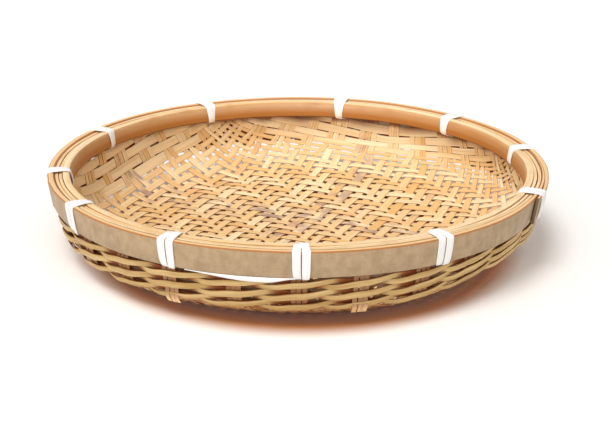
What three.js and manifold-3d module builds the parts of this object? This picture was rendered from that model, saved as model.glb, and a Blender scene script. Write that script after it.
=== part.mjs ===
// Round bamboo tray basket: a twill mat of split bamboo pressed into a shallow dish, its edge gripped
// between two bent hoops that plastic tapes bind together.
// Millimetres, +Z up. The origin lies on the table, under the middle of the tray.
import * as THREE from 'three';
import { mergeVertices } from 'three/addons/utils/BufferGeometryUtils.js';
import Module from 'manifold-3d';

const wasm = await Module();
wasm.setup();

// Tray as a whole
const rimDiameter = 300;          // across the top of the outer hoop
const trayHeight = 48;            // table to the top of the rim
const wallLean = 10;              // degrees that the wall leans out from upright
const cornerRadius = 29;          // bend from floor to wall, at the middle of the mat
const fitClearance = 0.3;         // between pieces that touch

// Mat: each strip is a pair of split canes, side by side
const stripsPerSide = 10;         // on each side of the middle, in each direction
const openStrips = 4;             // of those, the ones whose two canes part on the floor of the tray
const caneGap = 3;                // between the two canes of such a strip
const stripThickness = 0.8;
const stripGap = 3.4;             // open slot between neighbouring strips
const crossingClearance = 0.4;    // between a strip and the one that it crosses
const landing = 0.4;              // flat run of a strip past the edge of the one that it crosses
const weaveTurn = -24;            // degrees from +X to the cross strips
const twillRepeat = 4;            // over two, under two

// Hoops and the filler strips between them
const outerHoopHeight = 16;
const outerHoopThickness = 4;
const outerLapStart = -20;        // degrees from +X to the outer end of the lap
const innerHoopHeight = 10;
const innerHoopThickness = 4;
const innerLapStart = 152;
const hoopEase = 1;               // bevel along a hoop's upper edges
const fillerHeight = 10;
const fillerThickness = 2;
const fillerLapStart = 60;
const capHeight = 4;              // strip laid over the trimmed ends of the mat
const capLapStart = -100;
const hoopSteps = 60;             // facets in a turn of a hoop
const hoopLapSteps = 5;           // facets in the overlap of its ends

// Weavers that run round the outside of the wall, under the outer hoop
const weaverRows = 3;
const weaverWidth = 5.2;
const weaverThickness = 1;
const weaverGap = 0.9;            // between one row and the next
const weaverWaves = 13;           // rises and falls in one turn
const weaverSway = 1.1;           // height of a rise above the middle of the row
const weaverBulge = 1.5;          // how far a row stands off between the places where it touches
const weaverLapStart = 35;        // degrees from +X to the lap of the top row
const weaverLapShift = 110;       // degrees from one row's lap to the next
const weaverSteps = 78;
const weaverLapSteps = 6;

// Plastic tape ties, each one length of tape wound twice round the rim
const tieAngles = [-174, -148.5, -118, -89, -58, -22.4, 14, 45.5, 78.7, 115.8, 151.5];
const tapeWidth = 4.5;
const tapeThickness = 0.5;
const tapeGap = 0.8;              // between the two turns
const tapeNeck = 2;               // width of the tape bunched through the wall
const tuckShare = 0.35;           // how far up its first run a tucked end begins

const radians = THREE.MathUtils.degToRad;
const lerp = THREE.MathUtils.lerp;
const lean = radians(wallLean);
const cornerBend = Math.PI / 2 - lean;

// Dish: flat floor, round corner and straight leaning wall, followed by the middle of the mat
const weaveRise = (stripThickness + crossingClearance) / 2;
const matHalf = weaveRise + stripThickness / 2;
const outerHoopFace = (matHalf + fitClearance) / Math.cos(lean);
const outerRimOffset = outerHoopFace + outerHoopThickness / Math.cos(lean);
const wallTopRadius = rimDiameter / 2 - outerRimOffset;
const cornerTop = matHalf + cornerRadius * (1 - Math.cos(cornerBend));
const cornerTopRadius = wallTopRadius - (trayHeight - cornerTop) * Math.tan(lean);
const floorRadius = cornerTopRadius - cornerRadius * Math.sin(cornerBend);
const wallFoot = floorRadius + cornerRadius * cornerBend;
const matReach = reachAtHeight(trayHeight);

const stripPitch = matReach / (stripsPerSide + 1);
const stripWidth = stripPitch - stripGap;

function reachAtHeight(height) {
  return wallFoot + (height - cornerTop) / Math.cos(lean);
}

function wallRadius(height) {
  return wallTopRadius - (trayHeight - height) * Math.tan(lean);
}

// A point of the dish: reach is the length along the mat from its middle, lift the height off it
function dishPoint(reach, azimuth, lift) {
  const bend = THREE.MathUtils.clamp((reach - floorRadius) / cornerRadius, 0, cornerBend);
  const climb = Math.max(reach - wallFoot, 0);
  const floorRun = Math.min(reach, floorRadius);
  const radius = floorRun + (cornerRadius - lift) * Math.sin(bend) + climb * Math.sin(lean);
  const rise = cornerRadius - (cornerRadius - lift) * Math.cos(bend);
  const height = matHalf + rise + climb * Math.cos(lean);
  return new THREE.Vector3(radius * Math.cos(azimuth), radius * Math.sin(azimuth), height);
}

// A closed bar through rings of corners. Upper and lower faces are split along the same diagonal,
// so that two bars that cross on a curved surface stay parallel. A mirrored bar is turned inside out.
function loft(rings, mirrored = false) {
  const count = rings[0].length;
  const last = (rings.length - 1) * count;
  const index = [];
  const face = (a, b, c) => index.push(...(mirrored ? [a, c, b] : [a, b, c]));
  for (let ring = 0; ring < rings.length - 1; ring++) {
    for (let corner = 0; corner < count; corner++) {
      const a = ring * count + corner;
      const b = ring * count + (corner + 1) % count;
      if (corner < count / 2) {
        face(a, b, b + count);
        face(a, b + count, a + count);
      } else {
        face(a, b, a + count);
        face(b, b + count, a + count);
      }
    }
  }
  for (let corner = 1; corner < count - 1; corner++) {
    face(0, corner + 1, corner);
    face(last, last + corner, last + corner + 1);
  }
  const geometry = new THREE.BufferGeometry().setFromPoints(rings.flat());
  geometry.setIndex(index);
  return geometry;
}

function toSolid(geometry) {
  const bare = geometry.clone();
  bare.deleteAttribute('normal');
  bare.deleteAttribute('uv');
  const merged = mergeVertices(bare);
  return new wasm.Manifold(new wasm.Mesh({
    numProp: 3,
    vertProperties: new Float32Array(merged.attributes.position.array),
    triVerts: new Uint32Array(merged.index.array),
  }));
}

function fromSolid(solid) {
  const mesh = solid.getMesh();
  const geometry = new THREE.BufferGeometry();
  geometry.setAttribute('position', new THREE.BufferAttribute(mesh.vertProperties, 3));
  geometry.setIndex(new THREE.BufferAttribute(mesh.triVerts, 1));
  return geometry;
}

const bamboo = (color, roughness) => new THREE.MeshStandardMaterial({ color, roughness, metalness: 0 });
const splintBamboo = bamboo(0xdcae6c, 0.55);
const skinBamboo = bamboo(0xbfa27c, 0.6);
const honeyBamboo = bamboo(0xd9a25a, 0.5);
const weaverBamboo = bamboo(0xc6ab78, 0.6);
const whiteTape = new THREE.MeshStandardMaterial({ color: 0xf4f2ee, roughness: 0.4, metalness: 0 });

const tray = new THREE.Group();

function addPiece(name, geometry, material) {
  geometry.computeVertexNormals();
  const mesh = new THREE.Mesh(geometry, material);
  mesh.name = name;
  tray.add(mesh);
}

const numbered = (name, number) => `${name}_${String(number).padStart(2, '0')}`;

// The tape passes through the wall just under the outer hoop
const tapeStand = fitClearance + tapeThickness / 2;
const passHeight = trayHeight - outerHoopHeight - tapeStand;

// All that stands above the line where the ends of the mat are trimmed
function trimmings() {
  const block = new THREE.CylinderGeometry(rimDiameter, rimDiameter, trayHeight, 24);
  block.rotateX(Math.PI / 2);
  block.translate(0, 0, trayHeight - capHeight - fitClearance + trayHeight / 2);
  return toSolid(block);
}

// A bar that follows the mat between two edges, through stations along it, half thick on each side
function matBar(edges, stations, half, isLong) {
  const corner = (edge, station, rise) => {
    const [first, second] = isLong ? [edge, station.along] : [station.along, edge];
    const azimuth = Math.atan2(second, first) + radians(weaveTurn);
    return dishPoint(Math.hypot(first, second), azimuth, station.lift + rise);
  };
  const rings = stations.map((station) => [
    corner(edges[0], station, half),
    corner(edges[1], station, half),
    corner(edges[1], station, -half),
    corner(edges[0], station, -half),
  ]);
  return toSolid(loft(rings, !isLong));
}

// One strip of the mat. It lies flat over or under each strip that it crosses and changes level in
// the slots between them. Long strips run along the mat's second axis, cross strips along its first.
function matStrip(number, isLong) {
  const place = (number + 0.5) * stripPitch;
  const edges = [place - stripWidth / 2, place + stripWidth / 2];
  const nearEdge = Math.abs(place) - stripWidth / 2;
  const farEdge = Math.abs(place) + stripWidth / 2;
  const run = Math.sqrt(matReach ** 2 - nearEdge ** 2);
  const half = stripWidth / 2 + landing;
  const stations = [];
  for (let crossing = -stripsPerSide - 1; crossing <= stripsPerSide; crossing++) {
    const middle = (crossing + 0.5) * stripPitch;
    if (Math.abs(middle) - half < run) {
      const phase = THREE.MathUtils.euclideanModulo(number + crossing, twillRepeat);
      const longIsOver = phase < twillRepeat / 2;
      const lift = longIsOver === isLong ? weaveRise : -weaveRise;
      stations.push({ along: middle - half, lift }, { along: middle + half, lift });
    }
  }
  const onFloor = (station) => Math.hypot(farEdge, station.along) < floorRadius;
  const bends = stations.filter((station, index) => {
    const sides = [stations[index - 1], stations[index + 1]];
    return !sides.every((side) => side && side.lift === station.lift && onFloor(side) && onFloor(station));
  });
  return matBar(edges, bends, stripThickness / 2, isLong);
}

// The open space between the two canes of a strip, as far as it lies flat on the floor
function canePart(number, isLong) {
  const place = (number + 0.5) * stripPitch;
  const run = Math.sqrt(floorRadius ** 2 - (Math.abs(place) + stripWidth / 2) ** 2);
  const block = new THREE.BoxGeometry(caneGap, 2 * run, 2 * (matHalf + fitClearance));
  block.translate(place, 0, matHalf);
  if (!isLong) block.rotateZ(Math.PI / 2);
  block.rotateZ(radians(weaveTurn));
  return toSolid(block);
}

// Slits that the awl opens in a strip for the tapes, each from its tape to the strip's nearer edge
function awlSlits(number, isLong) {
  const place = (number + 0.5) * stripPitch;
  const reach = reachAtHeight(passHeight);
  const half = tapeNeck / 2 + fitClearance;
  const slits = [];
  for (const degrees of tieAngles) {
    const turn = radians(degrees - weaveTurn);
    const flat = [reach * Math.cos(turn), reach * Math.sin(turn)];
    const [across, along] = isLong ? flat : flat.reverse();
    const side = across < place ? -1 : 1;
    const edges = [across - side * half, place + side * (stripWidth / 2 + fitClearance)];
    if (side * (edges[1] - edges[0]) > fitClearance) {
      const stations = [{ along: along - half, lift: 0 }, { along: along + half, lift: 0 }];
      slits.push(matBar(edges.sort((a, b) => a - b), stations, matHalf + fitClearance, isLong));
    }
  }
  return slits;
}

// A strip bent into a hoop. Its two ends are shaved to wedges that lie one over the other in the lap.
function bentStrip(startDegrees, thickness, steps, lapSteps, section) {
  const tip = (thickness - fitClearance) / 3;
  const rings = [];
  for (let step = 0; step <= steps + lapSteps; step++) {
    const intoLap = step - steps;
    const inner = step > lapSteps ? 0 : lerp(thickness - tip, tip + fitClearance, step / lapSteps);
    const outer = intoLap < 0 ? thickness : lerp(thickness - tip - fitClearance, tip, intoLap / lapSteps);
    rings.push(section(radians(startDegrees) + (step / steps) * 2 * Math.PI, inner, outer));
  }
  return loft(rings);
}

// A point of the rim: face is the stand-off of a strip's inner face from the middle of the mat, depth
// the way through that strip, and drop the height below the top of the rim
function rimPoint(azimuth, face, depth, drop) {
  const radius = wallRadius(trayHeight - drop) + face + depth / Math.cos(lean);
  return new THREE.Vector3(radius * Math.cos(azimuth), radius * Math.sin(azimuth), trayHeight - drop);
}

// Section of a hoop that leans with the wall and is eased along its upper edges
function hoopSection(face, height) {
  return (azimuth, inner, outer) => {
    const ease = Math.min(hoopEase, (outer - inner) / 3);
    return [
      rimPoint(azimuth, face, inner, ease),
      rimPoint(azimuth, face, inner + ease, 0),
      rimPoint(azimuth, face, outer - ease, 0),
      rimPoint(azimuth, face, outer, ease),
      rimPoint(azimuth, face, outer, height),
      rimPoint(azimuth, face, inner, height),
    ];
  };
}

// Section of a thin strip with square edges, set between the hoops
function fillerSection(face, height) {
  return (azimuth, inner, outer) => [
    rimPoint(azimuth, face, inner, 0),
    rimPoint(azimuth, face, outer, 0),
    rimPoint(azimuth, face, outer, height),
    rimPoint(azimuth, face, inner, height),
  ];
}

// Section of a weaver on the outside of the mat, which sways up and down and stands off by turns
function weaverSection(reach) {
  return (azimuth, inner, outer) => {
    const sway = weaverSway * Math.cos(weaverWaves * azimuth);
    const bulge = weaverBulge * Math.sin(weaverWaves * azimuth) ** 2;
    const face = matHalf + fitClearance + bulge;
    const point = (side, depth) => dishPoint(reach + sway + side * weaverWidth / 2, azimuth, -face - depth);
    return [point(-1, inner), point(1, inner), point(1, outer), point(-1, outer)];
  };
}

// Rim, from the outside in: outer hoop, mat with the cap strip over its ends, filler strip, inner hoop
const fillerFace = -(matHalf + fitClearance + fillerThickness) / Math.cos(lean);
const innerHoopFace = fillerFace - (fitClearance + innerHoopThickness) / Math.cos(lean);
const capFace = -matHalf / Math.cos(lean);

// Path of a tie round the rim, seen along the hoop: distance from the tray's axis, and height
function tiePath() {
  const innerRadius = (height) => wallRadius(height) + innerHoopFace - tapeStand;
  const outerRadius = (height) => wallRadius(height) + outerRimOffset + tapeStand;
  const mouth = (matHalf + 2 * tapeStand) / Math.cos(lean);
  const shoulder = trayHeight - hoopEase + tapeStand * Math.tan(Math.PI / 8);
  const crown = hoopEase + tapeStand * (1 - Math.tan(Math.PI / 8));
  const top = trayHeight + tapeStand;
  return {
    innerMouth: new THREE.Vector2(wallRadius(passHeight) - mouth, passHeight),
    round: [
      new THREE.Vector2(innerRadius(trayHeight - innerHoopHeight), trayHeight - innerHoopHeight),
      new THREE.Vector2(innerRadius(shoulder), shoulder),
      new THREE.Vector2(innerRadius(trayHeight) + crown, top),
      new THREE.Vector2(outerRadius(trayHeight) - crown, top),
      new THREE.Vector2(outerRadius(shoulder), shoulder),
      new THREE.Vector2(outerRadius(passHeight), passHeight),
    ],
    outerMouth: new THREE.Vector2(wallRadius(passHeight) + mouth, passHeight),
  };
}

// Stations of the tape: a tucked end, one turn, the pass through the wall, the second turn, a tucked end
function tieStations() {
  const { innerMouth, round, outerMouth } = tiePath();
  const turnShift = (tapeWidth + tapeGap) / 2;
  const tuckShift = tapeNeck + tapeGap;
  const tuckIn = innerMouth.clone().lerp(round[0], tuckShare);
  const tuckOut = outerMouth.clone().lerp(round[round.length - 1], tuckShare);
  const turn = (shift) => round.map((place) => ({ place, shift, width: tapeWidth }));
  return [
    { place: tuckIn, shift: -tuckShift, width: tapeNeck },
    ...turn(-turnShift),
    { place: outerMouth, shift: 0, width: tapeNeck },
    { place: innerMouth, shift: 0, width: tapeNeck },
    ...turn(turnShift),
    { place: tuckOut, shift: tuckShift, width: tapeNeck },
  ];
}

// Corners of the tape at each station, square to the path and mitred where it turns
function tieRings(stations) {
  return stations.map(({ place, shift, width }, index) => {
    const before = stations[Math.max(index - 1, 0)].place;
    const after = stations[Math.min(index + 1, stations.length - 1)].place;
    const arriving = place.clone().sub(index ? before : after).multiplyScalar(index ? 1 : -1).normalize();
    const isLast = index === stations.length - 1;
    const leaving = isLast ? arriving : after.clone().sub(place).normalize();
    const run = arriving.clone().add(leaving).normalize();
    const out = new THREE.Vector2(-run.y, run.x).multiplyScalar(tapeThickness / 2 / run.dot(arriving));
    const corner = (side, face) => new THREE.Vector3(
      place.x + face * out.x,
      shift + side * width / 2,
      place.y + face * out.y,
    );
    return [corner(1, 1), corner(-1, 1), corner(-1, -1), corner(1, -1)];
  });
}

// Least gap between two stretches of the tape that are half a turn or more apart, on sampled edges
function leastSelfGap(rings, apart) {
  const samples = 8;
  const points = [];
  for (let ring = 0; ring < rings.length - 1; ring++) {
    for (let sample = 0; sample <= samples; sample++) {
      rings[ring].forEach((corner, side) => {
        const place = corner.clone().lerp(rings[ring + 1][side], sample / samples);
        points.push({ ring, place });
      });
    }
  }
  let least = Infinity;
  for (const one of points) {
    for (const other of points) {
      if (other.ring - one.ring >= apart) least = Math.min(least, one.place.distanceTo(other.place));
    }
  }
  return least;
}

// Mat
const cuttings = trimmings();
for (let number = -stripsPerSide; number < stripsPerSide; number++) {
  const label = number + stripsPerSide + 1;
  for (const [name, isLong] of [['long_strip', true], ['cross_strip', false]]) {
    const cuts = [cuttings, ...awlSlits(number, isLong)];
    if (Math.abs(number + 0.5) < openStrips) cuts.push(canePart(number, isLong));
    const strip = cuts.reduce((left, cut) => left.subtract(cut), matStrip(number, isLong));
    addPiece(numbered(name, label), fromSolid(strip), splintBamboo);
  }
}

// Rim
function rimStrip(lapStart, thickness, section) {
  return bentStrip(lapStart, thickness, hoopSteps, hoopLapSteps, section);
}
const outerSection = hoopSection(outerHoopFace, outerHoopHeight);
const innerSection = hoopSection(innerHoopFace, innerHoopHeight);
const fillerStripSection = fillerSection(fillerFace, fillerHeight);
const capStripSection = fillerSection(capFace, capHeight);
addPiece('outer_hoop', rimStrip(outerLapStart, outerHoopThickness, outerSection), skinBamboo);
addPiece('cap_strip', rimStrip(capLapStart, 2 * matHalf, capStripSection), honeyBamboo);
addPiece('filler_strip', rimStrip(fillerLapStart, fillerThickness, fillerStripSection), honeyBamboo);
addPiece('inner_hoop', rimStrip(innerLapStart, innerHoopThickness, innerSection), honeyBamboo);

// Wall weavers, from the top row down
const weaverTop = reachAtHeight(passHeight - tapeStand) - weaverSway;
for (let row = 0; row < weaverRows; row++) {
  const reach = weaverTop - weaverWidth / 2 - row * (weaverWidth + weaverGap);
  const lapStart = weaverLapStart + row * weaverLapShift;
  const strip = bentStrip(lapStart, weaverThickness, weaverSteps, weaverLapSteps, weaverSection(reach));
  addPiece(numbered('wall_weaver', row + 1), strip, weaverBamboo);
}

// Ties
const tapeStations = tieStations();
const tapeRings = tieRings(tapeStations);
const turnApart = Math.floor(tapeStations.length / 2) - 2;
console.log(`least gap of a tie to itself: ${leastSelfGap(tapeRings, turnApart).toFixed(2)} mm`);
tieAngles.forEach((degrees, index) => {
  const tie = loft(tapeRings);
  tie.rotateZ(radians(degrees));
  addPiece(numbered('tie', index + 1), tie, whiteTape);
});

export default tray;
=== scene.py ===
# A round bamboo tray basket, photographed on a white table: a woven mat pressed into a shallow dish,
# its edge gripped between two bent hoops and bound with white plastic tape.
import math
import random

import bmesh
import bpy
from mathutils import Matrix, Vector, noise


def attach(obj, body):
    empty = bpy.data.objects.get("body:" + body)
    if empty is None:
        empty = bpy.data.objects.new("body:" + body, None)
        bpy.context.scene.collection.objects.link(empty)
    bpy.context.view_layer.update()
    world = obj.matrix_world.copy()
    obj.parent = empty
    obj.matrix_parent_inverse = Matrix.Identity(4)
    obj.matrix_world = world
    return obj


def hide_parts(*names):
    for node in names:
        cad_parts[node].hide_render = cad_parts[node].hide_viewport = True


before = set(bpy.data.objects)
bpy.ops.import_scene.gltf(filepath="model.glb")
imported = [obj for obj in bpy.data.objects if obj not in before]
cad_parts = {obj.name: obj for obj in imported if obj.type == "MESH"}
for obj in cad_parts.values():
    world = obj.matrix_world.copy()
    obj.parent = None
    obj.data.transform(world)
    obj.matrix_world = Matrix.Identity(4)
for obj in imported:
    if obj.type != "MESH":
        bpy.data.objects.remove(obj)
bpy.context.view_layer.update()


# Mat: split canes, woven over two and under two, evenly spaced on the floor and closer to the wall. There
# the four outermost canes of each side lie edge to edge as bands, and the canes that climb past them are
# drawn together by twos and threes. Each cane is a straight slat first, then woven and pressed into a dish.
mm = 0.001
CANE_PITCH = 7.995 * mm
EVEN_CANES = 13  # to each side of the middle
SIDE_STEPS = (8.0, 7.6, 7.4, 6.9, 7.0, 7.0, 7.0, 7.0)  # mm from cane to cane, on to the rim
BACK_STEPS = (6.3, 5.9, 5.6, 5.0, 4.8, 4.6, 4.5, 4.7, 4.9, 5.5, 6.8)
BANDS = 4
BAND_FILL = 0.91  # share of its place that a band fills
INNER_BAND_FILL = 0.99  # and that the innermost band fills
LONG_WIDTH = 5.85 * mm
CROSS_WIDTH = 5.3 * mm
WIDTH_SPREAD = (0.84, 1.08)  # narrowest and widest cane, by that width
CLOSING = (102 * mm, 126 * mm)  # reach in which the canes draw closer, up the wall
CLOSED = 0.65  # share of its place that a cane then fills
CORNER_DRAW = 0.3  # how much further the mat's corners are drawn in than its sides
CANE_THICKNESS = 0.4 * mm
CANE_EASE = 0.12 * mm
CANE_CROWN = 0.03 * mm
CANE_STEP = 1.1 * mm
WEAVE_RISE = 0.22 * mm  # of a cane's middle over and under the middle of the mat
LEVEL_CHANGE = 1.15 * mm  # half the length in which a cane goes from over to under
WEAVE_TURN = math.radians(-24)  # of the canes, as the tray stands on the table
GATHER = (125 * mm, 141 * mm)  # along a cane, where a bundle draws together
BUNDLE_PITCH = 4.5 * mm
BUNDLE_WIDTH = 4.1 * mm  # of each cane in a bundle
WANDER = 0.7 * mm  # how far a cane strays from its place
WANDER_LENGTH = 45 * mm
BAND_TONE, CANE_TONE, TONE_SPREAD = 0.05, 0.45, 0.25  # of the wood, from pale at 0 to deep at 1
HOOP_SHADE = (160.3 * mm, 162.8 * mm)  # reach in which shade is painted on the canes, under the inner hoop
HOOP_SHADE_SIDE = math.radians(35)  # where the painted shade is darkest
HOOP_SHADE_SHARE = (0.35, 1)  # how dark the painted shade is, away from that side and on it
BEHIND = (130 * mm, 138 * mm)  # reach in which shade is painted on their outer faces, behind the weavers
BEHIND_SHARE = (0.9, 0.35)  # how dark that painted shade is, on the left and on the right

LEAN = math.radians(10)
MAT_HEIGHT = 0.7 * mm
CORNER_RADIUS = 29 * mm
FLOOR_RADIUS = 112.02 * mm
WALL_FOOT = FLOOR_RADIUS + CORNER_RADIUS * (math.pi / 2 - LEAN)
MAT_TRIM = 171.5 * mm  # reach at which the canes are cut off, inside the rim
RIM_TOP = 48 * mm
WALL_TOP_RADIUS = 144.62 * mm
SOFT_CORNER = 7 * mm  # how far the turn from floor to wall is pushed up, on one side
SOFT_SIDE = math.radians(25)
SOFT_RISE, SOFT_FALL = (72 * mm, 126 * mm), (126 * mm, 158 * mm)

random.seed(7)


def smooth_step(start, end, value):
    share = min(max((value - start) / (end - start), 0), 1)
    return share * share * (3 - 2 * share)


def lerp(start, end, share):
    return start + (end - start) * share


def dish_point(reach, azimuth, lift):
    """Where a point of the flat mat goes in the dish. Lift is its height off the middle of the mat."""
    bend = min(max((reach - FLOOR_RADIUS) / CORNER_RADIUS, 0), math.pi / 2 - LEAN)
    climb = max(reach - WALL_FOOT, 0)
    radius = min(reach, FLOOR_RADIUS) + (CORNER_RADIUS - lift) * math.sin(bend) + climb * math.sin(LEAN)
    height = MAT_HEIGHT + CORNER_RADIUS - (CORNER_RADIUS - lift) * math.cos(bend) + climb * math.cos(LEAN)
    pushed = SOFT_CORNER * smooth_step(0, 0.8, math.cos(azimuth - SOFT_SIDE))
    height += pushed * smooth_step(*SOFT_RISE, reach) * (1 - smooth_step(*SOFT_FALL, reach))
    return Vector((radius * math.cos(azimuth), radius * math.sin(azimuth), height))


def select_edges(mesh, direction):
    """In edit mode, the edges that run along a direction, and no others."""
    edit = bmesh.from_edit_mesh(mesh)
    for edge in edit.edges:
        run = (edge.verts[1].co - edge.verts[0].co).normalized()
        edge.select_set(abs(run.dot(direction)) > 0.99)
    edit.select_flush_mode()
    bmesh.update_edit_mesh(mesh)


def straight_slat(name, length, width, thickness, ease, steps):
    """A slat along X from 0, across Y and thick along Z, its long edges eased, cut across in rounds of steps.
    Its UV map runs along the fibre, in metres."""
    bpy.ops.object.select_all(action="DESELECT")
    bpy.ops.mesh.primitive_cube_add(size=1, location=(length / 2, 0, 0))
    slat = bpy.context.object
    slat.name = slat.data.name = name
    slat.scale = (length, width, thickness)
    bpy.ops.object.transform_apply(location=True, rotation=False, scale=True)
    bpy.ops.object.mode_set(mode="EDIT")
    bpy.ops.mesh.select_mode(type="EDGE")
    select_edges(slat.data, Vector((1, 0, 0)))
    bpy.ops.mesh.bevel(offset=ease, segments=2, affect="EDGES")
    for cuts in steps:
        select_edges(slat.data, Vector((1, 0, 0)))
        bpy.ops.mesh.subdivide(number_cuts=cuts - 1)
    bpy.ops.object.mode_set(mode="OBJECT")
    fibre = slat.data.uv_layers.new(name="fibre")
    shift = random.uniform(0, 9)
    for loop in slat.data.loops:
        place = slat.data.vertices[loop.vertex_index].co
        fibre.data[loop.index].uv = (place.x + shift, place.y + place.z)
    return slat


def cut_in(length, step):
    """Two numbers of cuts, one after the other, for steps of about that length."""
    fine = 8
    return max(2, round(length / step / fine)), fine


def mark(slat, name, values):
    """A value at each point of a slat, for its material."""
    slat.data.attributes.new(name, "FLOAT", "POINT").data.foreach_set("value", values)


def finish_piece(name, slats, material, nodes):
    """The slats of one piece joined, smoothed, given their material and put on the frame."""
    bpy.ops.object.select_all(action="DESELECT")
    for slat in slats:
        slat.select_set(True)
    piece = slats[0]
    bpy.context.view_layer.objects.active = piece
    if len(slats) > 1:
        bpy.ops.object.join()
    bpy.ops.object.shade_smooth_by_angle(angle=math.radians(50))
    piece.name = piece.data.name = name
    piece.data.materials.clear()
    piece.data.materials.append(material)
    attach(piece, "root")
    if nodes:
        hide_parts(*nodes)


def linear(hex_colour):
    """An sRGB hex colour as linear RGBA."""
    parts = [int(hex_colour[i:i + 2], 16) / 255 for i in (1, 3, 5)]
    return [c / 12.92 if c <= 0.04045 else ((c + 0.055) / 1.055) ** 2.4 for c in parts] + [1]


def add_node(tree, kind, inputs, **settings):
    """A shader node with its settings, and each input set to a value or linked to a socket. An input goes by
    its name, or by its number where names repeat: a Mix node's colours are 6 and 7, its numbers 2 and 3."""
    node = tree.nodes.new("ShaderNode" + kind)
    for setting, value in settings.items():
        setattr(node, setting, value)
    for socket, value in inputs.items():
        if isinstance(value, bpy.types.NodeSocket):
            tree.links.new(value, node.inputs[socket])
        else:
            node.inputs[socket].default_value = value
    return node


def new_material(name):
    material = bpy.data.materials.new(name)
    material.use_nodes = True
    material.node_tree.nodes.clear()
    return material, material.node_tree


# Split bamboo: straw-coloured wood, cut with a knife along its fibres and left raw, so it is dry and a
# little silky. Each cane has its own tone, with shade painted along its edges. Some are stained
# grey-violet, and shade is painted on them all under the inner hoop and behind the weavers.
splint_bamboo, tree = new_material("split_bamboo")
grain = add_node(tree, "UVMap", {}, uv_map="fibre").outputs["UV"]
# fibres 71 mm long and 0.67 mm wide: real ones are half as wide, too fine to show here; bundles 110 x 2.4 mm
fibres = add_node(tree, "Mapping", {"Vector": grain, "Scale": (0.014 / mm, 1.5 / mm, 1)}).outputs["Vector"]
fine = add_node(tree, "TexNoise", {"Vector": fibres, "Scale": 1, "Detail": 3},
                noise_dimensions="2D").outputs["Fac"]
bundles = add_node(tree, "Mapping", {"Vector": grain, "Scale": (0.009 / mm, 0.42 / mm, 1)}).outputs["Vector"]
broad = add_node(tree, "TexNoise", {"Vector": bundles, "Scale": 1, "Detail": 2},
                 noise_dimensions="2D").outputs["Fac"]
tone, stain, side, split, painted_shade = (
    add_node(tree, "Attribute", {}, attribute_name=name).outputs["Fac"]
    for name in ("tone", "stain", "side", "split", "painted_shade"))
wood = add_node(tree, "Mix", {"Factor": tone, 6: linear("#FEE2B6"), 7: linear("#E9B674")},
                data_type="RGBA").outputs[2]
streak = add_node(tree, "MapRange", {"Value": broad, "From Min": 0.38, "From Max": 0.68,
                                     "To Max": 0.4}).outputs["Result"]
wood = add_node(tree, "Mix", {"Factor": streak, 6: wood, 7: linear("#E4B070")}, data_type="RGBA").outputs[2]
hair = add_node(tree, "MapRange", {"Value": fine, "From Min": 0.56, "From Max": 0.75,
                                   "To Max": 0.32}).outputs["Result"]
wood = add_node(tree, "Mix", {"Factor": hair, 6: wood, 7: linear("#C08A4A")}, data_type="RGBA").outputs[2]
# blots of stain, 14 mm across
blot_place = add_node(tree, "TexCoord", {}).outputs["Object"]
blot = add_node(tree, "TexNoise", {"Vector": blot_place, "Scale": 0.07 / mm, "Detail": 3}).outputs["Fac"]
blot = add_node(tree, "MapRange", {"Value": blot, "From Min": 0.42, "From Max": 0.6}).outputs["Result"]
stained = add_node(tree, "Math", {0: blot, 1: stain}, operation="MULTIPLY").outputs[0]
wood = add_node(tree, "Mix", {"Factor": stained, 6: wood, 7: linear("#A98878")}, data_type="RGBA").outputs[2]
# painted shade: the side faces of each cane darkened, as in shade
off_middle = add_node(tree, "Math", {0: side}, operation="ABSOLUTE").outputs[0]
edge = add_node(tree, "MapRange", {"Value": off_middle, "From Min": 0.92, "From Max": 1,
                                   "To Max": 0.8}).outputs["Result"]
wood = add_node(tree, "Mix", {"Factor": edge, 6: wood, 7: linear("#7C430F")}, data_type="RGBA").outputs[2]
crack = add_node(tree, "MapRange", {"Value": off_middle, "From Min": 0.0, "From Max": 0.1, "To Min": 0.5,
                                    "To Max": 0}).outputs["Result"]
crack = add_node(tree, "Math", {0: crack, 1: split}, operation="MULTIPLY").outputs[0]
wood = add_node(tree, "Mix", {"Factor": crack, 6: wood, 7: linear("#6B3B14")}, data_type="RGBA").outputs[2]
# painted shade: brown under the inner hoop and behind the weavers
painted_shade = add_node(tree, "Math", {0: painted_shade, 1: 0.85}, operation="MULTIPLY").outputs[0]
wood = add_node(tree, "Mix", {"Factor": painted_shade, 6: wood, 7: linear("#742E06")}, data_type="RGBA").outputs[2]
relief = add_node(tree, "Math", {0: fine, 1: broad}, operation="ADD").outputs[0]
relief = add_node(tree, "Bump", {"Height": relief, "Strength": 0.35, "Distance": 0.15 * mm}).outputs["Normal"]
gloss = add_node(tree, "MapRange", {"Value": broad, "To Min": 0.42, "To Max": 0.62}).outputs["Result"]
shader = add_node(tree, "BsdfPrincipled", {
    "Base Color": wood, "Roughness": gloss, "Normal": relief, "IOR": 1.5, "Specular IOR Level": 0.28,
    "Subsurface Weight": 0.15, "Subsurface Radius": (1.0, 0.4, 0.15), "Subsurface Scale": 1.0 * mm})
add_node(tree, "OutputMaterial", {"Surface": shader.outputs[0]})


def cane_places(before, after):
    """Places of a set of canes across the mat, by number: even in the middle, then by the steps."""
    places = {number: (number + 0.5) * CANE_PITCH for number in range(-EVEN_CANES, EVEN_CANES)}
    for step in after:
        places[max(places) + 1] = places[max(places)] + step * mm
    for step in before:
        places[min(places) - 1] = places[min(places)] - step * mm
    return dict(sorted(places.items()))


LONG_PLACES = cane_places(SIDE_STEPS, SIDE_STEPS)
CROSS_PLACES = cane_places(SIDE_STEPS, BACK_STEPS)


def is_band(places, number):
    return number < min(places) + BANDS or number > max(places) - BANDS


def bundle(number):
    """Which bundle a cane belongs to, by turns of two, three and three canes."""
    return (3 * number + 2) // 8


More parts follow.
